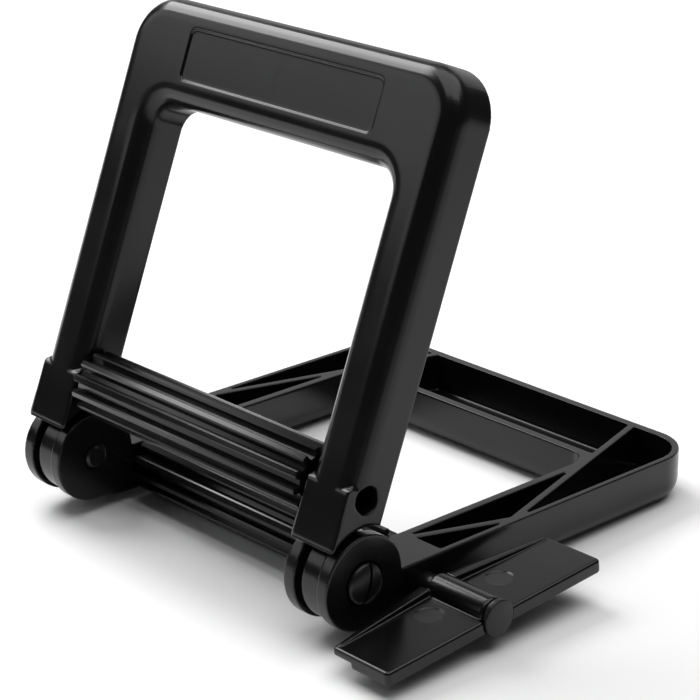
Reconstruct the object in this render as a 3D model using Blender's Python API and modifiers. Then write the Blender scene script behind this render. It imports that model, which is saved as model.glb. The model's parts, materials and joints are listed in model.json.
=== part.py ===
"""Hand tube squeezer: two hinged handle frames, two fluted rollers and a wing key.

The lower frame lies along +Y from the hinge, the upper one leans back over it.
X runs along the hinge, with the wing key on the +X side. Z is up.
Each frame is drawn in the hinge's own axes: y along the frame, z out of its rim plane.
"""
import math

import bmesh
import bpy
from mathutils import Matrix, Vector

# Driving dimensions, in metres and degrees
FRAME_WIDTH = 0.095
FRAME_LENGTH = 0.097          # hinge axis to the end face
FRAME_DEPTH = 0.01065         # rim plane to outer face
ARM_WIDTH = 0.012
BAR_WIDTH = 0.0215
WALL = 0.002
OUTER_WALL = 0.0014           # the outer side of each arm
RIB_WALL = 0.0017
FLOOR = 0.002
EDGE_ROUND = 0.0042           # on the outer face's edges
BLOCK_CHAMFER = 0.0042        # where the rounded arm leaves the square block
POCKET_CORNER = 0.00025
OUTER_CORNER = 0.0105
OPENING_CORNER = 0.005
BLOCK_END = 0.0213            # end of the square block at each hinge end
POCKET_START = 0.0212         # the channel begins here
RIB_FOOT = 0.0415             # where both ribs meet the outer wall
LABEL_LENGTH = 0.0566
LABEL_WIDTH = 0.0108
LABEL_DEPTH = 0.0005
LABEL_CORNER = 0.0016

OPEN_ANGLE = 68.7             # between the two frames at rest
EAR_RADIUS = 0.0097
EAR_WIDTH = 0.0029
EAR_CLEARANCE = 0.0015        # ear rim to the upper block
TONGUE_RADIUS = 0.009
TONGUE_CLEARANCE = 0.0005
TONGUE_PLAY = 0.0013          # side gap on the -X side of each tongue
BLOCK_FOOT = 0.0049           # the upper block's lowest edge above the hinge axis
BLOCK_HEEL = 0.0022           # rounding of the upper block's rear bottom edge

PIN_RADIUS = 0.0024
PIN_HEAD_RADIUS = 0.0041
PIN_HEAD_DOME = 0.0015
PIN_SEAT_DEPTH = 0.0006
PIN_SEAT_RIM = 0.0004         # counterbore rim round the head
PIN_SLOT = 0.0006
PIN_TIP_OUT = 0.0005

ROLLER_REACH = 0.0158         # hinge axis to roller axis, along the frame
ROLLER_TIP = 0.0069
ROLLER_ROOT = 0.0053
ROLLER_TEETH = 12
CREST_SHARE = 0.4              # crest width over tooth pitch
ROOT_SHARE = 0.52             # tooth width at its root over pitch
ROLLER_END_GAP = 0.001
UPPER_CREST_ANGLE = 152.5     # direction of one crest at rest, from +Y
LOWER_CREST_ANGLE = 157.2
AXLE_RADIUS = 0.0026
AXLE_RECESS = 0.005
RUN_FIT = 0.0001              # round a pin or axle in its bore
RUN_GAP = 0.0003              # between faces that touch

KEY_LENGTH = 0.057
KEY_THICKNESS = 0.0018        # beside the arm
KEY_PAD_DEPTH = 0.0029        # the thicker outer part
KEY_PAD_WIDTH = 0.0104
KEY_REACH = 0.0196            # frame side to the plate's outer edge
KEY_TIP_GAP = 0.0047          # frame side to the plate's inner edge at its tips
KEY_ROOT_GAP = 0.0018         # the same beside the hub
KEY_RISE = 0.0007             # plate's top face above the hub axis
KEY_TILT = 4.4
KEY_EDGE = 0.0005
KEY_LIP_HEIGHT = 0.0013       # beside the hub, falling to nothing at the tips
KEY_LIP_TIP = 0.001
KEY_LIP_ROOT = 0.0026
HUB_RADIUS = 0.0036
HUB_START = 0.0033            # frame side to the hub's end
CAP_RADIUS = 0.0037
CAP_THICKNESS = 0.0013
CAP_PROUD = 0.0004            # cap beyond the plate's outer edge

# Derived sizes
HALF_WIDTH = FRAME_WIDTH / 2
ARM_INNER = HALF_WIDTH - ARM_WIDTH
BAR_INNER = FRAME_LENGTH - BAR_WIDTH
AXLE_DEPTH = FRAME_DEPTH / 2
BORE_RADIUS = AXLE_RADIUS + RUN_FIT
PIN_BORE = PIN_RADIUS + RUN_FIT
SLOT_LOW = ARM_INNER + EAR_WIDTH
SLOT_HIGH = HALF_WIDTH - EAR_WIDTH
TONGUE_WIDTH = SLOT_HIGH - SLOT_LOW - TONGUE_PLAY - RUN_GAP
TONGUE_SHIFT = (TONGUE_PLAY - RUN_GAP) / 2
ROLLER_HALF = ARM_INNER - ROLLER_END_GAP
HUB_END = HALF_WIDTH + KEY_REACH + CAP_PROUD - CAP_THICKNESS - RUN_GAP
HEX_RADIUS = AXLE_RADIUS - RUN_FIT
HEX_BORE = HEX_RADIUS + RUN_GAP / math.cos(math.radians(30))
MARGIN = 0.004                # how far a cutter runs past what it cuts
ROUND_STEPS = 48


def clear_scene():
    for thing in list(bpy.data.objects):
        bpy.data.objects.remove(thing, do_unlink=True)


def collection(name):
    made = bpy.data.collections.new(name)
    bpy.context.scene.collection.children.link(made)
    return made


def plastic(name, colour, roughness):
    made = bpy.data.materials.new(name)
    made.use_nodes = True
    shader = made.node_tree.nodes["Principled BSDF"]
    shader.inputs["Base Color"].default_value = (*colour, 1.0)
    shader.inputs["Roughness"].default_value = roughness
    shader.inputs["Metallic"].default_value = 0.0
    return made


def empty(name, parent=None):
    made = bpy.data.objects.new(name, None)
    PARTS.objects.link(made)
    made.parent = parent
    return made


# Outlines in a plane

def arc(centre, radius, start, end, steps):
    """Points along an arc, angles in degrees."""
    points = []
    for i in range(steps + 1):
        turn = math.radians(start + (end - start) * i / steps)
        points.append((centre[0] + radius * math.cos(turn), centre[1] + radius * math.sin(turn)))
    return points


def rounded(corners, steps=6):
    """A closed outline through (x, y, radius) corners, each rounded to its radius."""
    outline = []
    count = len(corners)
    for i, (x, y, radius) in enumerate(corners):
        here = Vector((x, y))
        to_last = (Vector(corners[i - 1][:2]) - here).normalized()
        to_next = (Vector(corners[(i + 1) % count][:2]) - here).normalized()
        if radius <= 0:
            outline.append((x, y))
            continue
        half = to_last.angle(to_next) / 2
        middle = here + (to_last + to_next).normalized() * (radius / math.sin(half))
        first = here + to_last * (radius / math.tan(half)) - middle
        last = here + to_next * (radius / math.tan(half)) - middle
        sweep = first.angle_signed(last)
        for k in range(steps + 1):
            spoke = first.copy()
            spoke.rotate(Matrix.Rotation(-sweep * k / steps, 2))
            outline.append(tuple(middle + spoke))
    return outline


def meet(line_a, line_b):
    """Where two lines cross, each given by two points."""
    (ax, ay), (bx, by) = line_a
    (cx, cy), (dx, dy) = line_b
    det = (bx - ax) * (dy - cy) - (by - ay) * (dx - cx)
    t = ((cx - ax) * (dy - cy) - (cy - ay) * (dx - cx)) / det
    return (ax + t * (bx - ax), ay + t * (by - ay))


def beside(line, offset):
    """The line moved sideways, to its right when offset is positive."""
    (ax, ay), (bx, by) = line
    run = Vector((bx - ax, by - ay)).normalized()
    shift = Vector((run.y, -run.x)) * offset
    return ((ax + shift.x, ay + shift.y), (bx + shift.x, by + shift.y))


# Solids

ACROSS = Matrix(((0, 0, 1, 0), (1, 0, 0, 0), (0, 1, 0, 0), (0, 0, 0, 1)))   # outline in y, z; thickness on x


def settle(thing, home, parent):
    """Put a new object in its collection and under its parent empty."""
    home.objects.link(thing)
    thing.parent = parent
    if home is CUTTERS:
        thing.hide_render = True
        thing.display_type = "WIRE"
    return thing


def plate(name, loops, low, high, home, parent, across=False, edge=0.0):
    """A flat outline, with its holes, given thickness from low to high."""
    curve = bpy.data.curves.new(name, "CURVE")
    curve.dimensions = "2D"
    curve.fill_mode = "BOTH"
    curve.extrude = (high - low) / 2 - edge
    curve.bevel_depth = edge
    curve.bevel_resolution = 2
    curve.offset = -edge
    for loop in loops:
        spline = curve.splines.new("POLY")
        spline.points.add(len(loop) - 1)
        for point, (x, y) in zip(spline.points, loop):
            point.co = (x, y, 0, 1)
        spline.use_cyclic_u = True
    sketch = bpy.data.objects.new(name + "_sketch", curve)
    CUTTERS.objects.link(sketch)
    mesh = bpy.data.meshes.new_from_object(sketch.evaluated_get(bpy.context.evaluated_depsgraph_get()))
    bpy.data.objects.remove(sketch, do_unlink=True)
    work = bmesh.new()
    work.from_mesh(mesh)
    bmesh.ops.remove_doubles(work, verts=work.verts, dist=1e-6)
    bmesh.ops.translate(work, vec=(0, 0, (low + high) / 2), verts=work.verts)
    if across:
        bmesh.ops.transform(work, matrix=ACROSS, verts=work.verts)
    bmesh.ops.recalc_face_normals(work, faces=work.faces)
    work.to_mesh(mesh)
    work.free()
    mesh.name = name
    return settle(bpy.data.objects.new(name, mesh), home, parent)


def rod(name, radius, low, high, y, z, home, parent, sides=ROUND_STEPS, edge=0.0):
    """A cylinder or prism along X."""
    work = bmesh.new()
    bmesh.ops.create_cone(work, cap_ends=True, segments=sides, radius1=radius, radius2=radius,
                          depth=high - low)
    if edge:
        rims = [e for e in work.edges if abs(abs(e.verts[0].co.z) - (high - low) / 2) < 1e-7
                and abs(e.verts[0].co.z - e.verts[1].co.z) < 1e-7]
        bmesh.ops.bevel(work, geom=rims, offset=edge, segments=2, affect="EDGES", profile=0.5)
    bmesh.ops.transform(work, matrix=ACROSS, verts=work.verts)
    bmesh.ops.translate(work, vec=((low + high) / 2, y, z), verts=work.verts)
    mesh = bpy.data.meshes.new(name)
    work.to_mesh(mesh)
    work.free()
    return settle(bpy.data.objects.new(name, mesh), home, parent)


def block(name, low, high, home, parent):
    """A box between two corners."""
    work = bmesh.new()
    bmesh.ops.create_cube(work, size=1)
    size = Vector(high) - Vector(low)
    bmesh.ops.scale(work, vec=size, verts=work.verts)
    bmesh.ops.translate(work, vec=(Vector(high) + Vector(low)) / 2, verts=work.verts)
    mesh = bpy.data.meshes.new(name)
    work.to_mesh(mesh)
    work.free()
    return settle(bpy.data.objects.new(name, mesh), home, parent)


def combine(target, tool, operation):
    """MANIFOLD, because the blocks and ears share faces with the arms, where EXACT leaves gaps."""
    step = target.modifiers.new(tool.name, "BOOLEAN")
    step.operation = operation
    step.object = tool
    step.solver = "MANIFOLD"


def finish_part(thing, material, parts):
    """Give a part its material and smooth its rounds."""
    thing.data.materials.clear()
    thing.data.materials.append(material)
    thing.data.shade_smooth()
    thing.data.set_sharp_from_angle(angle=math.radians(35))
    parts.append(thing)


# The two frames

def frame_outline():
    """The U of two arms and a bar; the arm ends stop inside the square blocks."""
    start = BLOCK_END - BLOCK_CHAMFER - EDGE_ROUND
    return rounded([
        (-HALF_WIDTH, start, 0), (-HALF_WIDTH, FRAME_LENGTH, OUTER_CORNER),
        (HALF_WIDTH, FRAME_LENGTH, OUTER_CORNER), (HALF_WIDTH, start, 0),
        (ARM_INNER, start, 0), (ARM_INNER, BAR_INNER, OPENING_CORNER),
        (-ARM_INNER, BAR_INNER, OPENING_CORNER), (-ARM_INNER, start, 0),
    ])


def pocket_outlines():
    """The channel of the right arm and bar, parted by two ribs."""
    outer = ((HALF_WIDTH - OUTER_WALL, 0), (HALF_WIDTH - OUTER_WALL, 1))
    inner = ((ARM_INNER + WALL, 0), (ARM_INNER + WALL, 1))
    start = ((0, POCKET_START), (1, POCKET_START))
    bar_outer = ((0, FRAME_LENGTH - WALL), (1, FRAME_LENGTH - WALL))
    bar_inner = ((0, BAR_INNER + WALL), (1, BAR_INNER + WALL))
    foot = (HALF_WIDTH - OUTER_WALL, RIB_FOOT)
    rib_near = ((ARM_INNER + WALL * 1.5, POCKET_START), foot)
    rib_far = (foot, (ARM_INNER + WALL / 4, BAR_INNER))
    half = RIB_WALL / 2
    near_outer, near_inner = beside(rib_near, half), beside(rib_near, -half)
    far_outer, far_inner = beside(rib_far, half), beside(rib_far, -half)
    small = POCKET_CORNER
    radii = [small, small, OUTER_CORNER - WALL]
    near_block = [meet(start, near_outer), meet(near_outer, outer), meet(outer, start)]
    middle = [meet(start, inner), meet(inner, far_inner), meet(far_inner, near_inner),
              meet(near_inner, start)]
    corner = [meet(outer, far_outer), meet(far_outer, bar_outer), meet(bar_outer, outer)]
    left_end = meet(bar_inner, far_inner)
    left_top = meet(bar_outer, far_inner)
    bar = [left_end, left_top, (-left_top[0], left_top[1]), (-left_end[0], left_end[1])]
    return {
        "pocket_near": [(x, y, small) for x, y in near_block],
        "pocket_middle": [(x, y, small) for x, y in middle],
        "pocket_corner": [(x, y, r) for (x, y), r in zip(corner, radii)],
    }, [(x, y, small) for x, y in bar]


def frame_shell(name, side, home, parent):
    """Rounded U with square blocks and open channels; side is +1 above the rim plane."""
    far = side * FRAME_DEPTH
    behind = -side * MARGIN
    low, high = sorted((far, behind))
    shell = plate(name, [frame_outline()], low, high, home, parent, edge=EDGE_ROUND)
    for hand, sign in (("left", -1), ("right", 1)):
        combine(shell, end_block(name, hand, sign, side, parent), "UNION")
    low, high = sorted((0.0, -side * 3 * MARGIN))
    rim = block(name + "_rim_cut", (-FRAME_WIDTH, -FRAME_LENGTH, low),
                (FRAME_WIDTH, FRAME_LENGTH * 2, high), CUTTERS, parent)
    combine(shell, rim, "DIFFERENCE")
    pockets, bar = pocket_outlines()
    low, high = sorted((side * (FRAME_DEPTH - FLOOR), -side * MARGIN))
    for hand, sign in (("left", -1), ("right", 1)):
        for label, corners in pockets.items():
            outline = rounded([(sign * x, y, r) for x, y, r in corners], 3)
            cut = plate(f"{name}_{label}_{hand}", [outline], low, high, CUTTERS, parent)
            combine(shell, cut, "DIFFERENCE")
    cut = plate(name + "_pocket_bar", [rounded(bar, 3)], low, high, CUTTERS, parent)
    combine(shell, cut, "DIFFERENCE")
    return shell


def end_block(name, hand, sign, side, parent):
    """The solid hinge end of an arm, chamfered where the rounded arm begins."""
    if side > 0:
        inner = EAR_RADIUS + EAR_CLEARANCE
        lift = math.degrees(math.asin(BLOCK_FOOT / inner))
        heel = math.degrees(math.asin(BLOCK_HEEL / inner))
        outline = [(BLOCK_FOOT, FRAME_DEPTH), (BLOCK_END, FRAME_DEPTH), (BLOCK_END, -MARGIN),
                   (inner + BLOCK_HEEL, -MARGIN)]
        outline += arc((inner + BLOCK_HEEL, BLOCK_HEEL), BLOCK_HEEL, 270, 190, 4)
        outline += arc((0, 0), inner, heel, 90 - lift, 12)
    else:
        outline = [(0, -MARGIN), (BLOCK_END, -MARGIN), (BLOCK_END, FRAME_DEPTH),
                   (TONGUE_RADIUS * 0.7, FRAME_DEPTH), (0, EAR_RADIUS)]
    outline = [(y, side * z) for y, z in outline]
    low, high = sorted((sign * ARM_INNER, sign * HALF_WIDTH))
    made = plate(f"{name}_block_{hand}", [outline], low, high, CUTTERS, parent, across=True)
    work = bmesh.new()
    work.from_mesh(made.data)
    edges = [e for e in work.edges if all(abs(v.co.y - BLOCK_END) < 1e-6 for v in e.verts)
             and any(side * v.co.z > 0 for v in e.verts)]
    bmesh.ops.bevel(work, geom=edges, offset=BLOCK_CHAMFER, segments=1, affect="EDGES")
    work.to_mesh(made.data)
    work.free()
    return made


def bore(target, label, radius, low, high, y, z, parent, sides=ROUND_STEPS):
    cut = rod(f"{target.name}_{label}", radius, low, high, y, z, CUTTERS, parent, sides)
    combine(target, cut, "DIFFERENCE")


def lower_frame(home, parent):
    """The frame that lies on the table, with two ears on each arm."""
    frame = frame_shell("lower_frame", -1, home, parent)
    for hand, sign in (("left", -1), ("right", 1)):
        low, high = sorted((sign * ARM_INNER, sign * HALF_WIDTH))
        disc = rod(f"lower_ear_{hand}", EAR_RADIUS, low, high, 0, 0, CUTTERS, parent)
        combine(frame, disc, "UNION")
        low, high = sorted((sign * SLOT_LOW, sign * SLOT_HIGH))
        reach = TONGUE_RADIUS + TONGUE_CLEARANCE
        bore(frame, f"slot_{hand}", reach, low, high, 0, 0, parent)
        rest = block(f"lower_slot_clear_{hand}", (low, -2 * reach, -reach * 1.5),
                     (high, 0, 2 * reach), CUTTERS, parent)
        combine(frame, rest, "DIFFERENCE")
        above = block(f"lower_slot_top_{hand}", (low, -reach, 0), (high, reach * 1.2, 2 * reach),
                      CUTTERS, parent)
        combine(frame, above, "DIFFERENCE")
        low, high = sorted((sign * (ARM_INNER - MARGIN), sign * (HALF_WIDTH + MARGIN)))
        bore(frame, f"pin_bore_{hand}", PIN_BORE, low, high, 0, 0, parent)
        bore(frame, f"axle_bore_{hand}", BORE_RADIUS, low, high, ROLLER_REACH, -AXLE_DEPTH, parent)
        low, high = sorted((sign * (HALF_WIDTH - PIN_SEAT_DEPTH), sign * (HALF_WIDTH + MARGIN)))
        bore(frame, f"pin_seat_{hand}", PIN_HEAD_RADIUS + PIN_SEAT_RIM, low, high, 0, 0, parent)
    return frame


def upper_frame(home, parent):
    """The frame that folds over, with one tongue on each arm and a blank label panel."""
    frame = frame_shell("upper_frame", 1, home, parent)
    for hand, sign in (("left", -1), ("right", 1)):
        middle = sign * (SLOT_LOW + SLOT_HIGH) / 2 + TONGUE_SHIFT
        low, high = middle - TONGUE_WIDTH / 2, middle + TONGUE_WIDTH / 2
        disc = rod(f"upper_tongue_{hand}", TONGUE_RADIUS, low, high, 0, 0, CUTTERS, parent)
        combine(frame, disc, "UNION")
        reach = TONGUE_RADIUS
        neck = block(f"upper_neck_{hand}", (low, BLOCK_FOOT, BLOCK_HEEL),
                     (high, EAR_RADIUS + EAR_CLEARANCE + BLOCK_HEEL, reach), CUTTERS, parent)
        combine(frame, neck, "UNION")
        low, high = sorted((sign * (ARM_INNER - MARGIN), sign * (HALF_WIDTH + MARGIN)))
        bore(frame, f"pin_bore_{hand}", PIN_BORE, low, high, 0, 0, parent)
        bore(frame, f"axle_bore_{hand}", BORE_RADIUS, low, high, ROLLER_REACH, AXLE_DEPTH, parent)
    middle = (BAR_INNER + FRAME_LENGTH) / 2
    half_x, half_y = LABEL_LENGTH / 2, LABEL_WIDTH / 2
    outline = rounded([(-half_x, middle - half_y, LABEL_CORNER), (half_x, middle - half_y, LABEL_CORNER),
                       (half_x, middle + half_y, LABEL_CORNER), (-half_x, middle + half_y, LABEL_CORNER)])
    panel = plate("upper_label_panel", [outline], FRAME_DEPTH - LABEL_DEPTH, FRAME_DEPTH + MARGIN,
                  CUTTERS, parent)
    combine(frame, panel, "DIFFERENCE")
    return frame


# Rollers, axles, key and pins

def flute_outline(crest_angle):
    """Square-cut teeth round the roller, one crest pointing at crest_angle."""
    pitch = 360 / ROLLER_TEETH
    crest, flank = pitch * CREST_SHARE / 2, pitch * ROOT_SHARE / 2
    outline = []
    for i in range(ROLLER_TEETH):
        middle = crest_angle + i * pitch
        for radius, turn in ((ROLLER_ROOT, -flank), (ROLLER_TIP, -crest),
                             (ROLLER_TIP, crest), (ROLLER_ROOT, flank)):
            a = math.radians(middle + turn)
            outline.append((radius * math.cos(a), radius * math.sin(a)))
    return outline


def roller(name, crest_angle, z, bore_radius, sides, home, parent):
    outline = [(ROLLER_REACH + y, z + w) for y, w in flute_outline(crest_angle)]
    made = plate(name, [outline], -ROLLER_HALF, ROLLER_HALF, home, parent, across=True)
    bore(made, "bore", bore_radius, -HALF_WIDTH, HALF_WIDTH, ROLLER_REACH, z, parent, sides)
    return made


def upper_axle(home, parent):
    half = HALF_WIDTH - AXLE_RECESS
    return rod("upper_axle", AXLE_RADIUS, -half, half, ROLLER_REACH, AXLE_DEPTH, home, parent,
               edge=AXLE_RADIUS / 6)


def drive_shaft(home, parent):
    """Round where it turns in the frame, six-sided in the roller and the key, with a headed end."""
    z = -AXLE_DEPTH
    shoulder = ROLLER_HALF + RUN_GAP
    step = HALF_WIDTH + HUB_START - RUN_GAP
    shaft = rod("drive_shaft", AXLE_RADIUS, shoulder, step, ROLLER_REACH, z, home, parent)
    core = rod("drive_core", HEX_RADIUS, -shoulder - AXLE_RADIUS / 2, HUB_END + RUN_GAP * 2,
               ROLLER_REACH, z, CUTTERS, parent, 6)
    combine(shaft, core, "UNION")
    end = rod("drive_journal", AXLE_RADIUS, -(HALF_WIDTH - AXLE_RECESS), -shoulder,
              ROLLER_REACH, z, CUTTERS, parent)
    combine(shaft, end, "UNION")
    head = rod("drive_head", CAP_RADIUS, HUB_END + RUN_GAP, HUB_END + RUN_GAP + CAP_THICKNESS,
               ROLLER_REACH, z, CUTTERS, parent, edge=CAP_THICKNESS / 4)
    combine(shaft, head, "UNION")
    return shaft


def wing_key(home, parent):
    """A flat wing on a hub that fits over the drive shaft, tilted about the shaft."""
    pivot = empty("key_pivot", parent)
    pivot.location = (0, ROLLER_REACH, -AXLE_DEPTH)
    pivot.rotation_euler = (math.radians(KEY_TILT), 0, 0)
    outer = HALF_WIDTH + KEY_REACH
    tip, root = HALF_WIDTH + KEY_TIP_GAP, HALF_WIDTH + KEY_ROOT_GAP
    half = KEY_LENGTH / 2
    corner = KEY_EDGE * 2
    outline = rounded([(tip, -half, corner), (outer, -half, corner), (outer, half, corner),
                       (tip, half, corner), (root, HUB_RADIUS, corner), (root, -HUB_RADIUS, corner)], 4)
    key = plate("wing_key", [outline], KEY_RISE - KEY_THICKNESS, KEY_RISE, home, pivot, edge=KEY_EDGE)
    inner = outer - KEY_PAD_WIDTH
    outline = rounded([(inner, -half, corner), (outer, -half, corner), (outer, half, corner),
                       (inner, half, corner)], 4)
    pad = plate("key_pad", [outline], KEY_RISE - KEY_PAD_DEPTH, KEY_RISE, CUTTERS, pivot, edge=KEY_EDGE)
    combine(key, pad, "UNION")
    for label, sign in (("near", -1), ("far", 1)):
        combine(key, key_lip(label, sign, tip, root, half - corner, pivot), "UNION")
    hub = rod("key_hub", HUB_RADIUS, HALF_WIDTH + HUB_START, HUB_END, 0, 0, CUTTERS, pivot, edge=RUN_GAP)
    combine(key, hub, "UNION")
    bore(key, "journal_room", AXLE_RADIUS + RUN_GAP, HALF_WIDTH, HALF_WIDTH + HUB_START, 0, 0, pivot)
    bore(key, "cap_seat", CAP_RADIUS + RUN_GAP, HUB_END, outer + MARGIN, 0, 0, pivot)
    bore(key, "drive_bore", HEX_BORE, HALF_WIDTH - MARGIN, outer + MARGIN, 0, 0, pivot, 6)
    return key


def key_lip(label, sign, tip, root, end, parent):
    """A ridge along the wing's inner edge, highest beside the hub."""
    start = HUB_RADIUS * 0.9
    lip = [(tip, sign * end), (tip + KEY_LIP_TIP, sign * end), (root + KEY_LIP_ROOT, sign * start),
           (root, sign * start)]
    inset = [(x + KEY_EDGE, y) for x, y in lip]
    ridge = plate("key_lip_" + label, [inset], -KEY_THICKNESS / 4, KEY_RISE + KEY_LIP_HEIGHT,
                  CUTTERS, parent)
    for vert in ridge.data.vertices:
        if vert.co.z > KEY_RISE:
            fall = (abs(vert.co.y) - start) / (end - start)
            vert.co.z -= fall * (KEY_LIP_HEIGHT - RUN_GAP)
    return ridge


def hinge_pin(hand, sign, home, parent):
    """Turned pin with a slotted dome head outside and a bevelled tip inside."""
    seat = HALF_WIDTH - PIN_SEAT_DEPTH + RUN_GAP
    rim = seat + PIN_SEAT_DEPTH * 0.6
    crown = rim + PIN_HEAD_DOME
    tip = ARM_INNER - PIN_TIP_OUT
    bevel = PIN_RADIUS / 5
    profile = [(0.0, crown)]
    for i in range(1, 7):
        turn = math.radians(90 * i / 6)
        profile.append((PIN_HEAD_RADIUS * math.sin(turn), rim + PIN_HEAD_DOME * math.cos(turn)))
    profile += [(PIN_HEAD_RADIUS, seat), (PIN_RADIUS, seat), (PIN_RADIUS, tip + bevel),
                (PIN_RADIUS - bevel, tip), (0.0, tip)]
    mesh = bpy.data.meshes.new("hinge_pin_" + hand)
    points = [(radius, 0.0, height) for radius, height in profile]
    mesh.from_pydata(points, [(i, i + 1) for i in range(len(points) - 1)], [])
    pin = settle(bpy.data.objects.new("hinge_pin_" + hand, mesh), home, parent)
    pin.rotation_euler = (0, math.radians(90) * sign, 0)
    turned = pin.modifiers.new("turned", "SCREW")
    turned.steps = ROUND_STEPS
    turned.render_steps = ROUND_STEPS
    turned.use_merge_vertices = True
    turned.merge_threshold = 0.00001
    turned.use_smooth_shade = True
    low, high = sorted((sign * rim, sign * (crown + MARGIN)))
    slot = block(f"pin_slot_{hand}", (low, -PIN_HEAD_RADIUS * 2, -PIN_SLOT / 2),
                 (high, PIN_HEAD_RADIUS * 2, PIN_SLOT / 2), CUTTERS, parent)
    slot.rotation_euler = (math.radians(75), 0, 0)
    combine(pin, slot, "DIFFERENCE")
    return pin


# Assembly

def rest_tilt():
    """Slope of the lower frame when it stands on its roller and the bar's outer edge."""
    run = FRAME_LENGTH - EDGE_ROUND - ROLLER_REACH
    reach = math.hypot(run, AXLE_DEPTH)
    return math.asin(ROLLER_TIP / reach) - math.atan2(AXLE_DEPTH, run)


def stand_at_origin(parts, assembly):
    """Move the assembly so that its box stands centred on the origin."""
    bpy.context.view_layer.update()
    graph = bpy.context.evaluated_depsgraph_get()
    corners = []
    for part in parts:
        seen = part.evaluated_get(graph)
        corners += [seen.matrix_world @ v.co for v in seen.data.vertices]
    low = [min(c[i] for c in corners) for i in range(3)]
    high = [max(c[i] for c in corners) for i in range(3)]
    shift = Vector(((low[0] + high[0]) / 2, (low[1] + high[1]) / 2, low[2]))
    assembly.location -= shift
    bpy.context.view_layer.update()


def build():
    black = plastic("black_moulded_plastic", (0.006, 0.006, 0.007), 0.25)
    satin = plastic("satin_roller_plastic", (0.006, 0.006, 0.007), 0.3)
    matt = plastic("matt_pin_plastic", (0.008, 0.008, 0.009), 0.4)

    assembly = empty("assembly")
    assembly.rotation_euler = (-rest_tilt(), 0, 0)
    hinge = empty("hinge", assembly)
    hinge.rotation_euler = (math.radians(OPEN_ANGLE), 0, 0)
    parts = []
    finish_part(lower_frame(PARTS, assembly), black, parts)
    finish_part(upper_frame(PARTS, hinge), black, parts)
    tilt = math.degrees(rest_tilt())
    finish_part(roller("lower_roller", LOWER_CREST_ANGLE + tilt, -AXLE_DEPTH, HEX_BORE, 6,
                       PARTS, assembly), satin, parts)
    finish_part(roller("upper_roller", UPPER_CREST_ANGLE + tilt - OPEN_ANGLE, AXLE_DEPTH, BORE_RADIUS,
                       ROUND_STEPS, PARTS, hinge), satin, parts)
    finish_part(drive_shaft(PARTS, assembly), matt, parts)
    finish_part(upper_axle(PARTS, hinge), matt, parts)
    finish_part(wing_key(PARTS, assembly), black, parts)
    for hand, sign in (("left", -1), ("right", 1)):
        finish_part(hinge_pin(hand, sign, PARTS, assembly), matt, parts)
    stand_at_origin(parts, assembly)


clear_scene()
PARTS = collection("tube_squeezer")
CUTTERS = collection("cutters")
build()
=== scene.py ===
"""Looks for the hand tube squeezer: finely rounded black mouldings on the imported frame."""

import json
import math

import bmesh
import bpy
from mathutils import Matrix, Vector


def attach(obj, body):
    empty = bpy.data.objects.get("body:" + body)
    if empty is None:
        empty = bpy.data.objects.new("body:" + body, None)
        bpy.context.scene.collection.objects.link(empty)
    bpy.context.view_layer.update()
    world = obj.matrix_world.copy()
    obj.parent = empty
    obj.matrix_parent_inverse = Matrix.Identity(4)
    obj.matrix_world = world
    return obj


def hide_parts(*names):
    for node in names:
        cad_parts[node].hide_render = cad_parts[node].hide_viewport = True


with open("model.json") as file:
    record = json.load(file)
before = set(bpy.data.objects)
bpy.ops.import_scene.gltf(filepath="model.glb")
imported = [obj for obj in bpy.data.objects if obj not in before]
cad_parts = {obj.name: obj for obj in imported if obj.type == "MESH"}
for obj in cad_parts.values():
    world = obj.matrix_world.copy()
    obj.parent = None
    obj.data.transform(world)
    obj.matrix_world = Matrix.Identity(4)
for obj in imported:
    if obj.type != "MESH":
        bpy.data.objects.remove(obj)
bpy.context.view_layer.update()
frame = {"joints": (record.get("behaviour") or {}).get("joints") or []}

# Sizes of the CAD part, in metres and degrees
FRAME_WIDTH = 0.095
FRAME_LENGTH = 0.097
FRAME_DEPTH = 0.01065
ARM_WIDTH = 0.012
BAR_WIDTH = 0.0215
WALL = 0.002
OUTER_WALL = 0.0014
RIB_WALL = 0.0017
FLOOR = 0.002
EDGE_ROUND = 0.0042
BLOCK_CHAMFER = 0.0042
POCKET_CORNER = 0.00025
OUTER_CORNER = 0.0105
OPENING_CORNER = 0.005
BLOCK_END = 0.0213
POCKET_START = 0.0212
RIB_FOOT = 0.0415
LABEL_LENGTH = 0.0566
LABEL_WIDTH = 0.0108
LABEL_DEPTH = 0.0005
LABEL_CORNER = 0.0016
OPEN_ANGLE = 68.7
EAR_RADIUS = 0.0097
EAR_WIDTH = 0.0029
EAR_CLEARANCE = 0.0015
TONGUE_RADIUS = 0.009
TONGUE_CLEARANCE = 0.0005
TONGUE_PLAY = 0.0013
BLOCK_FOOT = 0.0049
BLOCK_HEEL = 0.0022
PIN_RADIUS = 0.0024
PIN_HEAD_RADIUS = 0.0041
PIN_HEAD_DOME = 0.0015
PIN_SEAT_DEPTH = 0.0006
PIN_SEAT_RIM = 0.0004
PIN_SLOT = 0.0006
PIN_SLOT_TURN = 75
PIN_TIP_OUT = 0.0005
ROLLER_REACH = 0.0158
ROLLER_TIP = 0.0069
ROLLER_ROOT = 0.0053
ROLLER_TEETH = 12
CREST_SHARE = 0.4             # crest width over tooth pitch
ROOT_SHARE = 0.52             # tooth width at its root over pitch
ROLLER_END_GAP = 0.001
UPPER_CREST_ANGLE = 152.5
LOWER_CREST_ANGLE = 157.2
AXLE_RADIUS = 0.0026
AXLE_RECESS = 0.005
RUN_FIT = 0.0001
RUN_GAP = 0.0003
KEY_LENGTH = 0.057
KEY_THICKNESS = 0.0018
KEY_PAD_DEPTH = 0.0029
KEY_PAD_WIDTH = 0.0104
KEY_REACH = 0.0196
KEY_TIP_GAP = 0.0047
KEY_ROOT_GAP = 0.0018
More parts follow.
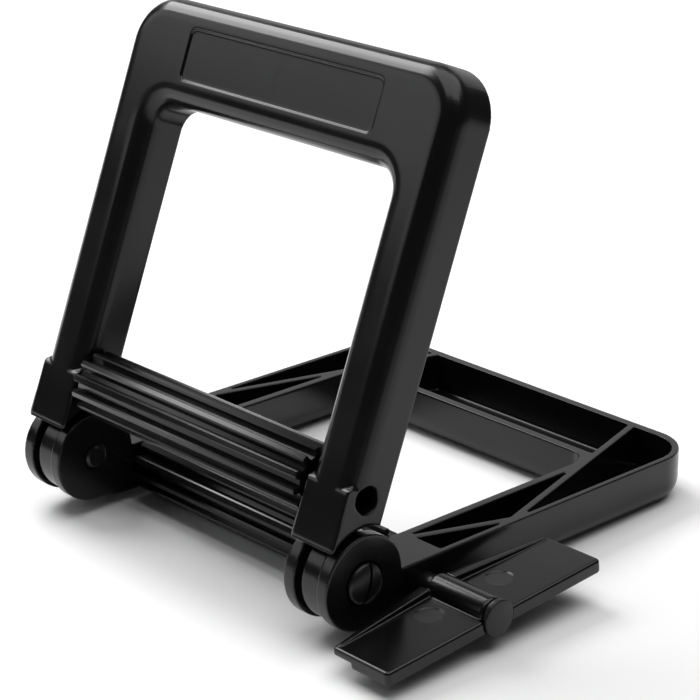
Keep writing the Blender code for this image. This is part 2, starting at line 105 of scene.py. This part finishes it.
KEY_RISE = 0.0007
KEY_TILT = 4.4
KEY_CORNER = 0.001
KEY_LIP_HEIGHT = 0.0013
KEY_LIP_TIP = 0.001
KEY_LIP_ROOT = 0.0026
HUB_RADIUS = 0.0036
HUB_START = 0.0033
CAP_RADIUS = 0.0037
CAP_THICKNESS = 0.0013
CAP_PROUD = 0.0004
HALF_WIDTH = FRAME_WIDTH / 2
ARM_INNER = HALF_WIDTH - ARM_WIDTH
BAR_INNER = FRAME_LENGTH - BAR_WIDTH
AXLE_DEPTH = FRAME_DEPTH / 2
SLOT_LOW = ARM_INNER + EAR_WIDTH
SLOT_HIGH = HALF_WIDTH - EAR_WIDTH
TONGUE_WIDTH = SLOT_HIGH - SLOT_LOW - TONGUE_PLAY - RUN_GAP
TONGUE_SHIFT = (TONGUE_PLAY - RUN_GAP) / 2
ROLLER_HALF = ARM_INNER - ROLLER_END_GAP
HEX_RADIUS = AXLE_RADIUS - RUN_FIT
HEX_BORE = HEX_RADIUS + RUN_GAP / math.cos(math.radians(30))
HUB_END = HALF_WIDTH + KEY_REACH + CAP_PROUD - CAP_THICKNESS - RUN_GAP

# Finer detail than the CAD part has
BLOCK_ROUND = 0.0008          # edges of the square hinge blocks
TOOTH_SHOULDER = 0.0003       # how far in from crest and root a tooth's edges are broken
TOOTH_FILLET_TURN = 2.4       # degrees round the roller that each break takes
TOOTH_SHOULDER_TURN = 0.4
TOOTH_CREST_TURN = 2.2
ROLLER_END_ROUND = 0.0002
KEY_ROUND = 0.0006
HUB_ROUND = 0.0008
LIP_INSET = 0.0005
LIP_CORNER = 0.0004
LIP_ROUND = 0.0003
EJECTOR_X = HALF_WIDTH + 0.0099
EJECTOR_MARKS = (-0.0085, 0.0103)
EJECTOR_RADIUS = 0.0028
EJECTOR_DEPTH = 0.00012
EJECTOR_SLANT = -0.04         # radians, so the mark is deepest at its far side
MARGIN = 0.004                # how far a cutter runs past what it cuts
ROUND_STEPS = 96
CRISP = 30                    # degrees: steeper edges of a turned or fluted piece stay crisp

# The grids that the frames and the key are remade on: cell, smoothing passes, share of faces kept
FRAME_MOULD = (0.0002, 8, 0.2)
KEY_MOULD = (0.00014, 4, 0.4)

# Where the two frames stand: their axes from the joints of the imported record
JOINTS = {joint["name"]: joint for joint in frame["joints"]}
HINGE = Vector(JOINTS["frame_hinge"]["pos_m"])
DRIVE = Vector(JOINTS["key_turn"]["pos_m"])
TILT = math.atan2(DRIVE.z - HINGE.z, DRIVE.y - HINGE.y) + math.atan2(AXLE_DEPTH, ROLLER_REACH)
LOWER = Matrix.Translation(HINGE) @ Matrix.Rotation(TILT, 4, "X")
UPPER = LOWER @ Matrix.Rotation(math.radians(OPEN_ANGLE), 4, "X")
KEY = (LOWER @ Matrix.Translation((0, ROLLER_REACH, -AXLE_DEPTH))
       @ Matrix.Rotation(math.radians(KEY_TILT), 4, "X"))
ACROSS = Matrix(((0, 0, 1, 0), (1, 0, 0, 0), (0, 1, 0, 0), (0, 0, 0, 1)))


# Outlines

def arc(centre, radius, start, end, steps):
    """Points along an arc, angles in degrees."""
    points = []
    for i in range(steps + 1):
        turn = math.radians(start + (end - start) * i / steps)
        points.append((centre[0] + radius * math.cos(turn), centre[1] + radius * math.sin(turn)))
    return points


def rounded(corners, steps=10):
    """A closed outline through (x, y, radius) corners."""
    outline = []
    count = len(corners)
    for i, (x, y, radius) in enumerate(corners):
        here = Vector((x, y))
        to_last = (Vector(corners[i - 1][:2]) - here).normalized()
        to_next = (Vector(corners[(i + 1) % count][:2]) - here).normalized()
        if radius <= 0:
            outline.append((x, y))
            continue
        half = to_last.angle(to_next) / 2
        middle = here + (to_last + to_next).normalized() * (radius / math.sin(half))
        first = here + to_last * (radius / math.tan(half)) - middle
        last = here + to_next * (radius / math.tan(half)) - middle
        sweep = first.angle_signed(last)
        for k in range(steps + 1):
            spoke = first.copy()
            spoke.rotate(Matrix.Rotation(-sweep * k / steps, 2))
            outline.append(tuple(middle + spoke))
    return outline


def meet(line_a, line_b):
    """Where two lines cross, each given by two points."""
    (ax, ay), (bx, by) = line_a
    (cx, cy), (dx, dy) = line_b
    det = (bx - ax) * (dy - cy) - (by - ay) * (dx - cx)
    t = ((cx - ax) * (dy - cy) - (cy - ay) * (dx - cx)) / det
    return (ax + t * (bx - ax), ay + t * (by - ay))


def beside(line, offset):
    """The line moved sideways, to its right when offset is positive."""
    (ax, ay), (bx, by) = line
    run = Vector((bx - ax, by - ay)).normalized()
    shift = Vector((run.y, -run.x)) * offset
    return ((ax + shift.x, ay + shift.y), (bx + shift.x, by + shift.y))


# Solids, made at once into plain meshes

def place(name, mesh):
    """A new object in the scene."""
    thing = bpy.data.objects.new(name, mesh)
    bpy.context.scene.collection.objects.link(thing)
    return thing


def settled(thing):
    """Replace a thing by the mesh that its modifiers make."""
    bpy.context.view_layer.update()
    graph = bpy.context.evaluated_depsgraph_get()
    mesh = bpy.data.meshes.new_from_object(thing.evaluated_get(graph))
    name = thing.name
    bpy.data.objects.remove(thing, do_unlink=True)
    return place(name, mesh)


def plate(name, outline, low, high, across=False, edge=0.0, segments=3):
    """A flat outline given thickness, its rims rounded by edge."""
    curve = bpy.data.curves.new(name, "CURVE")
    curve.dimensions = "2D"
    curve.fill_mode = "BOTH"
    curve.extrude = (high - low) / 2 - edge
    curve.bevel_depth = edge
    curve.bevel_resolution = segments
    curve.offset = -edge
    spline = curve.splines.new("POLY")
    spline.points.add(len(outline) - 1)
    for point, (x, y) in zip(spline.points, outline):
        point.co = (x, y, 0, 1)
    spline.use_cyclic_u = True
    thing = settled(place(name, curve))
    work = bmesh.new()
    work.from_mesh(thing.data)
    bmesh.ops.remove_doubles(work, verts=work.verts, dist=1e-6)
    bmesh.ops.translate(work, vec=(0, 0, (low + high) / 2), verts=work.verts)
    if across:
        bmesh.ops.transform(work, matrix=ACROSS, verts=work.verts)
    bmesh.ops.recalc_face_normals(work, faces=work.faces)
    work.to_mesh(thing.data)
    work.free()
    return thing


def rod(name, radius, low, high, y, z, sides=ROUND_STEPS, edge=0.0, segments=3):
    """A cylinder or prism along X, its rims rounded by edge."""
    work = bmesh.new()
    bmesh.ops.create_cone(work, cap_ends=True, segments=sides, radius1=radius, radius2=radius,
                          depth=high - low)
    if edge:
        rims = [e for e in work.edges if abs(e.verts[0].co.z - e.verts[1].co.z) < 1e-7]
        bmesh.ops.bevel(work, geom=rims, offset=edge, segments=segments, affect="EDGES", profile=0.5)
    bmesh.ops.transform(work, matrix=ACROSS, verts=work.verts)
    bmesh.ops.translate(work, vec=((low + high) / 2, y, z), verts=work.verts)
    mesh = bpy.data.meshes.new(name)
    work.to_mesh(mesh)
    work.free()
    return place(name, mesh)


def block(name, low, high):
    """A box between two corners."""
    work = bmesh.new()
    bmesh.ops.create_cube(work, size=1)
    bmesh.ops.scale(work, vec=Vector(high) - Vector(low), verts=work.verts)
    bmesh.ops.translate(work, vec=(Vector(high) + Vector(low)) / 2, verts=work.verts)
    mesh = bpy.data.meshes.new(name)
    work.to_mesh(mesh)
    work.free()
    return place(name, mesh)


def combine(target, tool, operation):
    """Join or cut target with tool, which is used up."""
    step = target.modifiers.new("step", "BOOLEAN")
    step.operation = operation
    step.object = tool
    step.solver = "MANIFOLD"
    made = settled(target)
    bpy.data.objects.remove(tool, do_unlink=True)
    return made


def moulding(thing, voxel, passes, keep):
    """Remake a solid on a fine grid, so that every edge and inner corner comes out softly rounded."""
    grid = thing.modifiers.new("grid", "REMESH")
    grid.mode = "VOXEL"
    grid.voxel_size = voxel
    soft = thing.modifiers.new("soft", "SMOOTH")
    soft.factor = 0.5
    soft.iterations = passes
    fewer = thing.modifiers.new("fewer", "DECIMATE")
    fewer.ratio = keep
    return settled(thing)


def show(thing, where, body, nodes, material, sharp=180):
    """Put a finished piece on its body in place of its CAD nodes; edges over sharp degrees stay crisp."""
    thing.matrix_world = where
    thing.data.materials.clear()
    thing.data.materials.append(material)
    thing.data.shade_smooth()
    thing.data.set_sharp_from_angle(angle=math.radians(sharp))
    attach(thing, body)
    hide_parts(*nodes)
    return thing


# Frames

def frame_outline():
    """The U of two arms and a bar; the arm ends stop inside the square blocks."""
    start = BLOCK_END - BLOCK_CHAMFER - EDGE_ROUND - 2 * BLOCK_ROUND
    return rounded([
        (-HALF_WIDTH, start, 0), (-HALF_WIDTH, FRAME_LENGTH, OUTER_CORNER),
        (HALF_WIDTH, FRAME_LENGTH, OUTER_CORNER), (HALF_WIDTH, start, 0),
        (ARM_INNER, start, 0), (ARM_INNER, BAR_INNER, OPENING_CORNER),
        (-ARM_INNER, BAR_INNER, OPENING_CORNER), (-ARM_INNER, start, 0),
    ], 16)


def pocket_outlines():
    """The channel of the right arm and the bar, parted by two ribs."""
    outer = ((HALF_WIDTH - OUTER_WALL, 0), (HALF_WIDTH - OUTER_WALL, 1))
    inner = ((ARM_INNER + WALL, 0), (ARM_INNER + WALL, 1))
    start = ((0, POCKET_START), (1, POCKET_START))
    bar_outer = ((0, FRAME_LENGTH - WALL), (1, FRAME_LENGTH - WALL))
    bar_inner = ((0, BAR_INNER + WALL), (1, BAR_INNER + WALL))
    foot = (HALF_WIDTH - OUTER_WALL, RIB_FOOT)
    rib_near = ((ARM_INNER + WALL * 1.5, POCKET_START), foot)
    rib_far = (foot, (ARM_INNER + WALL / 4, BAR_INNER))
    half = RIB_WALL / 2
    near_outer, near_inner = beside(rib_near, half), beside(rib_near, -half)
    far_outer, far_inner = beside(rib_far, half), beside(rib_far, -half)
    radius = OUTER_CORNER - WALL
    near_block = [meet(start, near_outer), meet(near_outer, outer), meet(outer, start)]
    middle = [meet(start, inner), meet(inner, far_inner), meet(far_inner, near_inner),
              meet(near_inner, start)]
    corner = [meet(outer, far_outer), meet(far_outer, bar_outer), meet(bar_outer, outer)]
    left_end = meet(bar_inner, far_inner)
    left_top = meet(bar_outer, far_inner)
    bar = [left_end, left_top, (-left_top[0], left_top[1]), (-left_end[0], left_end[1])]
    small = POCKET_CORNER
    return [
        [(x, y, small) for x, y in near_block],
        [(x, y, small) for x, y in middle],
        [(x, y, r) for (x, y), r in zip(corner, (small, small, radius))],
    ], [(x, y, small) for x, y in bar]


def end_block(name, sign, side):
    """The solid hinge end of an arm, chamfered where the rounded arm begins, its edges rounded."""
    if side > 0:
        inner = EAR_RADIUS + EAR_CLEARANCE
        lift = math.degrees(math.asin(BLOCK_FOOT / inner))
        heel = math.degrees(math.asin(BLOCK_HEEL / inner))
        outline = [(BLOCK_FOOT, FRAME_DEPTH), (BLOCK_END, FRAME_DEPTH), (BLOCK_END, -MARGIN),
                   (inner + BLOCK_HEEL, -MARGIN)]
        outline += arc((inner + BLOCK_HEEL, BLOCK_HEEL), BLOCK_HEEL, 270, 190, 8)
        outline += arc((0, 0), inner, heel, 90 - lift, 24)
    else:
        outline = [(0, -MARGIN), (BLOCK_END, -MARGIN), (BLOCK_END, FRAME_DEPTH),
                   (TONGUE_RADIUS * 0.7, FRAME_DEPTH), (0, EAR_RADIUS)]
    outline = [(y, side * z) for y, z in outline]
    low, high = sorted((sign * ARM_INNER, sign * HALF_WIDTH))
    made = plate(name, outline, low, high, across=True)
    work = bmesh.new()
    work.from_mesh(made.data)
    edges = [e for e in work.edges if all(abs(v.co.y - BLOCK_END) < 1e-6 for v in e.verts)
             and any(side * v.co.z > 0 for v in e.verts)]
    bmesh.ops.bevel(work, geom=edges, offset=BLOCK_CHAMFER, segments=1, affect="EDGES")
    flat = BLOCK_END - BLOCK_CHAMFER / 2
    rims = [e for e in work.edges if all(v.co.y < flat and side * v.co.z > 0 for v in e.verts)
            and len(e.link_faces) == 2 and e.calc_face_angle(0) > math.radians(40)]
    bmesh.ops.bevel(work, geom=rims, offset=BLOCK_ROUND, segments=3, affect="EDGES", profile=0.5)
    work.to_mesh(made.data)
    work.free()
    return made


def frame_shell(name, side):
    """Rounded U with square blocks and open channels; side is +1 above the rim plane."""
    low, high = sorted((side * FRAME_DEPTH, -side * MARGIN))
    shell = plate(name, frame_outline(), low, high, edge=EDGE_ROUND, segments=5)
    for sign in (-1, 1):
        shell = combine(shell, end_block(name + "_end", sign, side), "UNION")
    low, high = sorted((0.0, -side * 3 * MARGIN))
    rim = block("rim_cut", (-FRAME_WIDTH, -FRAME_LENGTH, low),
                (FRAME_WIDTH, FRAME_LENGTH * 2, high))
    shell = combine(shell, rim, "DIFFERENCE")
    pockets, bar = pocket_outlines()
    low, high = sorted((side * (FRAME_DEPTH - FLOOR), -side * MARGIN))
    cuts = [bar]
    for corners in pockets:
        cuts += [[(sign * x, y, r) for x, y, r in corners] for sign in (-1, 1)]
    for corners in cuts:
        cut = plate("pocket_cut", rounded(corners, 6), low, high)
        shell = combine(shell, cut, "DIFFERENCE")
    return shell


def bored(target, radius, low, high, y, z, sides=ROUND_STEPS):
    """The target with a hole along X."""
    return combine(target, rod("cut", radius, low, high, y, z, sides), "DIFFERENCE")


def lower_frame():
    """The frame that lies on the table, with two ears on each arm."""
    shell = frame_shell("shell_lower", -1)
    for sign in (-1, 1):
        low, high = sorted((sign * ARM_INNER, sign * HALF_WIDTH))
        shell = combine(shell, rod("ear", EAR_RADIUS, low, high, 0, 0), "UNION")
        low, high = sorted((sign * SLOT_LOW, sign * SLOT_HIGH))
        reach = TONGUE_RADIUS + TONGUE_CLEARANCE
        shell = bored(shell, reach, low, high, 0, 0)
        rest = block("cut", (low, -2 * reach, -reach * 1.5), (high, 0, 2 * reach))
        shell = combine(shell, rest, "DIFFERENCE")
        above = block("cut", (low, -reach, 0), (high, reach * 1.2, 2 * reach))
        shell = combine(shell, above, "DIFFERENCE")
        low, high = sorted((sign * (ARM_INNER - MARGIN), sign * (HALF_WIDTH + MARGIN)))
        shell = bored(shell, PIN_RADIUS + RUN_FIT, low, high, 0, 0)
        shell = bored(shell, AXLE_RADIUS + RUN_FIT, low, high, ROLLER_REACH, -AXLE_DEPTH)
        low, high = sorted((sign * (HALF_WIDTH - PIN_SEAT_DEPTH), sign * (HALF_WIDTH + MARGIN)))
        shell = bored(shell, PIN_HEAD_RADIUS + PIN_SEAT_RIM, low, high, 0, 0)
    return moulding(shell, *FRAME_MOULD)


def upper_frame():
    """The frame that folds over, with one tongue on each arm and a blank label panel."""
    shell = frame_shell("shell_upper", 1)
    for sign in (-1, 1):
        middle = sign * (SLOT_LOW + SLOT_HIGH) / 2 + TONGUE_SHIFT
        low, high = middle - TONGUE_WIDTH / 2, middle + TONGUE_WIDTH / 2
        shell = combine(shell, rod("tongue", TONGUE_RADIUS, low, high, 0, 0), "UNION")
        neck = block("neck", (low, BLOCK_FOOT, BLOCK_HEEL),
                     (high, EAR_RADIUS + EAR_CLEARANCE + BLOCK_HEEL, TONGUE_RADIUS))
        shell = combine(shell, neck, "UNION")
        low, high = sorted((sign * (ARM_INNER - MARGIN), sign * (HALF_WIDTH + MARGIN)))
        shell = bored(shell, PIN_RADIUS + RUN_FIT, low, high, 0, 0)
        shell = bored(shell, AXLE_RADIUS + RUN_FIT, low, high, ROLLER_REACH, AXLE_DEPTH)
    middle = (BAR_INNER + FRAME_LENGTH) / 2
    half_x, half_y = LABEL_LENGTH / 2, LABEL_WIDTH / 2
    corners = [(-half_x, middle - half_y), (half_x, middle - half_y),
               (half_x, middle + half_y), (-half_x, middle + half_y)]
    outline = rounded([(x, y, LABEL_CORNER) for x, y in corners])
    label = plate("cut", outline, FRAME_DEPTH - LABEL_DEPTH, FRAME_DEPTH + MARGIN)
    shell = combine(shell, label, "DIFFERENCE")
    return moulding(shell, *FRAME_MOULD)


# Rollers, axles, key and pins

def flute_outline(crest_angle):
    """Round-shouldered teeth, one crest pointing at crest_angle."""
    pitch = 360 / ROLLER_TEETH
    crest, flank = pitch * CREST_SHARE / 2, pitch * ROOT_SHARE / 2
    half_tooth = [(ROLLER_TIP, crest - TOOTH_CREST_TURN),
                  (ROLLER_TIP - TOOTH_SHOULDER, crest + TOOTH_SHOULDER_TURN),
                  (ROLLER_ROOT + TOOTH_SHOULDER, flank),
                  (ROLLER_ROOT, flank + TOOTH_FILLET_TURN)]
    tooth = [(radius, -turn) for radius, turn in reversed(half_tooth)] + half_tooth
    outline = []
    for i in range(ROLLER_TEETH):
        for radius, turn in tooth:
            a = math.radians(crest_angle + i * pitch + turn)
            outline.append((radius * math.cos(a), radius * math.sin(a)))
    return outline


def roller(name, crest_angle, z, bore_radius, sides):
    """Fluted along its length, its ends slightly rounded."""
    outline = [(ROLLER_REACH + y, z + w) for y, w in flute_outline(crest_angle)]
    made = plate(name, outline, -ROLLER_HALF, ROLLER_HALF, across=True,
                 edge=ROLLER_END_ROUND, segments=1)
    return bored(made, bore_radius, -HALF_WIDTH, HALF_WIDTH, ROLLER_REACH, z, sides)


def upper_axle():
    """The plain axle that the free roller turns on."""
    half = HALF_WIDTH - AXLE_RECESS
    return rod("axle_upper", AXLE_RADIUS, -half, half, ROLLER_REACH, AXLE_DEPTH, edge=AXLE_RADIUS / 6)


def drive_shaft():
    """Round where it turns in the frame, six-sided in the roller and the key, with a headed end."""
    y, z = ROLLER_REACH, -AXLE_DEPTH
    shoulder = ROLLER_HALF + RUN_GAP
    step = HALF_WIDTH + HUB_START - RUN_GAP
    seat = HUB_END + RUN_GAP
    shaft = rod("shaft_drive", AXLE_RADIUS, shoulder, step, y, z)
    core = rod("core", HEX_RADIUS, -shoulder - AXLE_RADIUS / 2, HUB_END + RUN_GAP * 2, y, z, 6)
    shaft = combine(shaft, core, "UNION")
    end = rod("journal", AXLE_RADIUS, -(HALF_WIDTH - AXLE_RECESS), -shoulder, y, z)
    shaft = combine(shaft, end, "UNION")
    head = rod("head", CAP_RADIUS, seat, seat + CAP_THICKNESS, y, z, edge=CAP_THICKNESS / 4)
    return combine(shaft, head, "UNION")


def key_lip(sign, tip, root, end):
    """A ridge along the wing's inner edge, highest beside the hub."""
    start = HUB_RADIUS * 0.9
    lip = [(tip, sign * end), (tip + KEY_LIP_TIP, sign * end),
           (root + KEY_LIP_ROOT, sign * start), (root, sign * start)]
    inset = rounded([(x + LIP_INSET, y, LIP_CORNER) for x, y in lip], 3)
    ridge = plate("lip", inset, -KEY_THICKNESS / 4, KEY_RISE + KEY_LIP_HEIGHT,
                  edge=LIP_ROUND, segments=2)
    for vert in ridge.data.vertices:
        if vert.co.z > KEY_RISE:
            fall = (abs(vert.co.y) - start) / (end - start)
            vert.co.z -= fall * (KEY_LIP_HEIGHT - RUN_GAP)
    return ridge


def wing_key():
    """In the key's own axes: x along the hub, y along the wing, z out of its top face."""
    outer = HALF_WIDTH + KEY_REACH
    tip, root = HALF_WIDTH + KEY_TIP_GAP, HALF_WIDTH + KEY_ROOT_GAP
    inner = outer - KEY_PAD_WIDTH
    half = KEY_LENGTH / 2
    corner = KEY_CORNER
    outline = rounded([(tip, -half, corner), (outer, -half, corner), (outer, half, corner),
                       (tip, half, corner), (root, HUB_RADIUS, corner), (root, -HUB_RADIUS, corner)], 6)
    key = plate("key_wing", outline, KEY_RISE - KEY_THICKNESS, KEY_RISE, edge=KEY_ROUND)
    outline = rounded([(inner, -half, corner), (outer, -half, corner), (outer, half, corner),
                       (inner, half, corner)], 6)
    pad = plate("pad", outline, KEY_RISE - KEY_PAD_DEPTH, KEY_RISE, edge=KEY_ROUND)
    key = combine(key, pad, "UNION")
    for sign in (-1, 1):
        key = combine(key, key_lip(sign, tip, root, half - corner), "UNION")
    hub = rod("hub", HUB_RADIUS, HALF_WIDTH + HUB_START, HUB_END, 0, 0, edge=HUB_ROUND)
    key = combine(key, hub, "UNION")
    key = bored(key, AXLE_RADIUS + RUN_GAP, HALF_WIDTH, HALF_WIDTH + HUB_START, 0, 0)
    key = bored(key, CAP_RADIUS + RUN_GAP, HUB_END, outer + MARGIN, 0, 0)
    key = bored(key, HEX_BORE, HALF_WIDTH - MARGIN, outer + MARGIN, 0, 0, 6)
    for y in EJECTOR_MARKS:
        key = combine(key, ejector_mark(EJECTOR_X, y), "DIFFERENCE")
    return moulding(key, *KEY_MOULD)


def ejector_mark(x, y):
    """A slightly tilted disc, for the round mark that an ejector pin leaves in the key's top face."""
    mesh = bpy.data.meshes.new("mark")
    work = bmesh.new()
    bmesh.ops.create_cone(work, cap_ends=True, segments=ROUND_STEPS, radius1=EJECTOR_RADIUS,
                          radius2=EJECTOR_RADIUS, depth=EJECTOR_DEPTH * 2)
    bmesh.ops.rotate(work, matrix=Matrix.Rotation(EJECTOR_SLANT, 3, "X"), verts=work.verts)
    bmesh.ops.translate(work, vec=(x, y, KEY_RISE), verts=work.verts)
    work.to_mesh(mesh)
    work.free()
    return place("mark", mesh)


def hinge_pin(name, sign):
    """Turned pin with a split dome head outside and a bevelled tip inside."""
    seat = HALF_WIDTH - PIN_SEAT_DEPTH + RUN_GAP
    rim = seat + PIN_SEAT_DEPTH * 0.6
    crown = rim + PIN_HEAD_DOME
    tip = ARM_INNER - PIN_TIP_OUT
    bevel = PIN_RADIUS / 5
    profile = [(0.0, crown)]
    for i in range(1, 17):
        turn = math.radians(90 * i / 16)
        profile.append((PIN_HEAD_RADIUS * math.sin(turn), rim + PIN_HEAD_DOME * math.cos(turn)))
    profile += [(PIN_HEAD_RADIUS, seat), (PIN_RADIUS, seat), (PIN_RADIUS, tip + bevel),
                (PIN_RADIUS - bevel, tip), (0.0, tip)]
    mesh = bpy.data.meshes.new(name)
    points = [(radius, 0.0, height) for radius, height in profile]
    mesh.from_pydata(points, [(i, i + 1) for i in range(len(points) - 1)], [])
    pin = place(name, mesh)
    turned = pin.modifiers.new("turned", "SCREW")
    turned.steps = turned.render_steps = ROUND_STEPS
    turned.use_merge_vertices = True
    turned.merge_threshold = 0.00001
    pin = settled(pin)
    pin.data.transform(Matrix.Rotation(math.radians(90) * sign, 4, "Y"))
    low, high = sorted((sign * rim, sign * (crown + MARGIN)))
    reach = PIN_HEAD_RADIUS * 2
    slot = block("slot", (low, -reach, -PIN_SLOT / 2), (high, reach, PIN_SLOT / 2))
    slot.data.transform(Matrix.Rotation(math.radians(PIN_SLOT_TURN), 4, "X"))
    return combine(pin, slot, "DIFFERENCE")


# Materials

BLACK = (0.0035, 0.0035, 0.004)
BLACK_PIN = (0.004, 0.004, 0.0045)
GLOSS = 0.36
SCUFF_DULLING = 0.04          # roughness that a scuff adds
FLOW_RELIEF = 6.0             # height of the flow marks over the grain


def moulded(name, slot, colour, roughness, spread, grain, grain_depth):
    """Black moulded plastic: fine grain, faint flow marks, uneven gloss and a few light scuffs."""
    made = bpy.data.materials.new(name)
    made["slot"] = slot
    made.use_nodes = True
    tree = made.node_tree
    link = tree.links.new
    shader = tree.nodes["Principled BSDF"]
    shader.inputs["IOR"].default_value = 1.5
    shader.inputs["Specular IOR Level"].default_value = GLOSS
    place_at = tree.nodes.new("ShaderNodeTexCoord")

    def noise(scale, detail, stretch=(1, 1, 1)):
        mapping = tree.nodes.new("ShaderNodeMapping")
        mapping.inputs["Scale"].default_value = stretch
        link(place_at.outputs["Object"], mapping.inputs["Vector"])
        texture = tree.nodes.new("ShaderNodeTexNoise")
        texture.inputs["Scale"].default_value = scale
        texture.inputs["Detail"].default_value = detail
        link(mapping.outputs["Vector"], texture.inputs["Vector"])
        return texture.outputs["Fac"]

    def ramp(source, low, high, from_low=0.3, from_high=0.7):
        range_node = tree.nodes.new("ShaderNodeMapRange")
        range_node.inputs["From Min"].default_value = from_low
        range_node.inputs["From Max"].default_value = from_high
        range_node.inputs["To Min"].default_value = low
        range_node.inputs["To Max"].default_value = high
        link(source, range_node.inputs["Value"])
        return range_node.outputs["Result"]

    def math_node(operation, a, b):
        node = tree.nodes.new("ShaderNodeMath")
        node.operation = operation
        for socket, value in zip(node.inputs, (a, b)):
            if isinstance(value, (int, float)):
                socket.default_value = value
            else:
                link(value, socket)
        return node.outputs["Value"]

    cloud = noise(scale=70, detail=3)
    flow = noise(scale=55, detail=4, stretch=(0.35, 1.0, 1.6))
    scuff = noise(scale=420, detail=2, stretch=(1.0, 0.12, 1.0))
    fine = noise(scale=grain, detail=2)
    mix = tree.nodes.new("ShaderNodeMix")
    mix.data_type = "RGBA"
    mix.inputs["A"].default_value = (*[c * 0.8 for c in colour], 1)
    mix.inputs["B"].default_value = (*[c * 1.25 for c in colour], 1)
    link(ramp(cloud, 0, 1), mix.inputs["Factor"])
    link(mix.outputs["Result"], shader.inputs["Base Color"])
    uneven = math_node("ADD", ramp(flow, -spread, spread), ramp(scuff, 0, SCUFF_DULLING, 0.62, 0.8))
    link(math_node("ADD", uneven, roughness), shader.inputs["Roughness"])
    bump = tree.nodes.new("ShaderNodeBump")
    bump.inputs["Strength"].default_value = 1.0
    bump.inputs["Distance"].default_value = grain_depth
    link(math_node("ADD", fine, math_node("MULTIPLY", flow, FLOW_RELIEF)), bump.inputs["Height"])
    link(bump.outputs["Normal"], shader.inputs["Normal"])
    return made


# The stage

def panel(name, place_at, aim, wide, high, radiance, colour=(1, 1, 1)):
    """A soft light panel; radiance is how bright it looks."""
    data = bpy.data.lights.new(name, "AREA")
    data.shape = "RECTANGLE"
    data.size, data.size_y = wide, high
    data.energy = radiance * math.pi * wide * high
    data.color = colour
    lamp = bpy.data.objects.new(name, data)
    lamp.location = place_at
    lamp.rotation_euler = (Vector(aim) - Vector(place_at)).to_track_quat("-Z", "Y").to_euler()
    bpy.context.scene.collection.objects.link(lamp)


def stage():
    """A pale floor, a faint even sky and four soft panels."""
    mesh = bpy.data.meshes.new("floor")
    work = bmesh.new()
    bmesh.ops.create_grid(work, x_segments=1, y_segments=1, size=6)
    work.to_mesh(mesh)
    work.free()
    floor = place("floor", mesh)
    pale = bpy.data.materials.new("pale_floor")
    pale.use_nodes = True
    shader = pale.node_tree.nodes["Principled BSDF"]
    shader.inputs["Base Color"].default_value = (0.93, 0.93, 0.93, 1)
    shader.inputs["Roughness"].default_value = 0.9
    shader.inputs["Specular IOR Level"].default_value = 0.0
    mesh.materials.append(pale)
    world = bpy.data.worlds.new("studio")
    bpy.context.scene.world = world
    bpy.context.scene.view_settings.view_transform = "Standard"
    world.use_nodes = True
    world.node_tree.nodes["Background"].inputs["Color"].default_value = (1, 1, 1, 1)
    world.node_tree.nodes["Background"].inputs["Strength"].default_value = 0.06
    panel("overhead", (0.1, 0.15, 1.1), (0.0, 0.05, 0.0), 1.3, 1.3, 2.15)
    panel("front_left", (-0.4, -0.36, 0.315), (0, 0, 0.1), 0.5, 0.2, 1.45, (0.97, 0.98, 1.0))
    panel("high_left", (-0.55, -0.02, 0.62), (0, 0, 0.03), 0.55, 0.4, 7.5)
    panel("back_left", (-0.7, 0.9, 0.4), (0, 0, 0.03), 1.6, 0.7, 0.62)


CAMERA_FROM_HINGE = Vector((0.347270, -0.274346, 0.205969))
CAMERA_RIGHT = Vector((0.677246, 0.735505, -0.019236))
CAMERA_BACK = Vector((0.689771, -0.625602, 0.364470))


def camera():
    """A long lens from the front right, a little above."""
    data = bpy.data.cameras.new("camera")
    data.lens = 124.92
    data.sensor_width = 36
    data.clip_start = 0.01
    view = bpy.data.objects.new("camera", data)
    back = CAMERA_BACK.normalized()
    up = back.cross(CAMERA_RIGHT).normalized()
    right = up.cross(back)
    turn = Matrix((right, up, back)).transposed().to_4x4()
    view.matrix_world = Matrix.Translation(HINGE + CAMERA_FROM_HINGE) @ turn
    bpy.context.scene.collection.objects.link(view)
    bpy.context.scene.camera = view


def build():
    """Every piece takes the place of its CAD node and rides on that node's body."""
    camera()
    body = moulded("black_body", "black_moulded_plastic", BLACK,
                   roughness=0.22, spread=0.05, grain=2600, grain_depth=2e-6)
    flute = moulded("black_roller", "satin_roller_plastic", BLACK,
                    roughness=0.25, spread=0.06, grain=2200, grain_depth=2.5e-6)
    matt = moulded("black_pin", "matt_pin_plastic", BLACK_PIN,
                   roughness=0.36, spread=0.06, grain=2600, grain_depth=3e-6)
    show(lower_frame(), LOWER, "base", ["lower_frame"], body)
    show(upper_frame(), UPPER, "upper", ["upper_frame"], body)
    crest = LOWER_CREST_ANGLE - math.degrees(TILT)
    low_roller = roller("roller_lower", crest, -AXLE_DEPTH, HEX_BORE, 6)
    crest = UPPER_CREST_ANGLE - math.degrees(TILT) - OPEN_ANGLE
    up_roller = roller("roller_upper", crest, AXLE_DEPTH, AXLE_RADIUS + RUN_FIT, ROUND_STEPS)
    show(low_roller, LOWER, "drive", ["lower_roller"], flute, CRISP)
    show(up_roller, UPPER, "idler", ["upper_roller"], flute, CRISP)
    show(drive_shaft(), LOWER, "drive", ["drive_shaft"], matt, CRISP)
    show(upper_axle(), UPPER, "idler", ["upper_axle"], matt, CRISP)
    show(wing_key(), KEY, "drive", ["wing_key"], body)
    show(hinge_pin("pin_left", -1), LOWER, "base", ["hinge_pin_left"], matt, CRISP)
    show(hinge_pin("pin_right", 1), LOWER, "base", ["hinge_pin_right"], matt, CRISP)
    stage()


build()
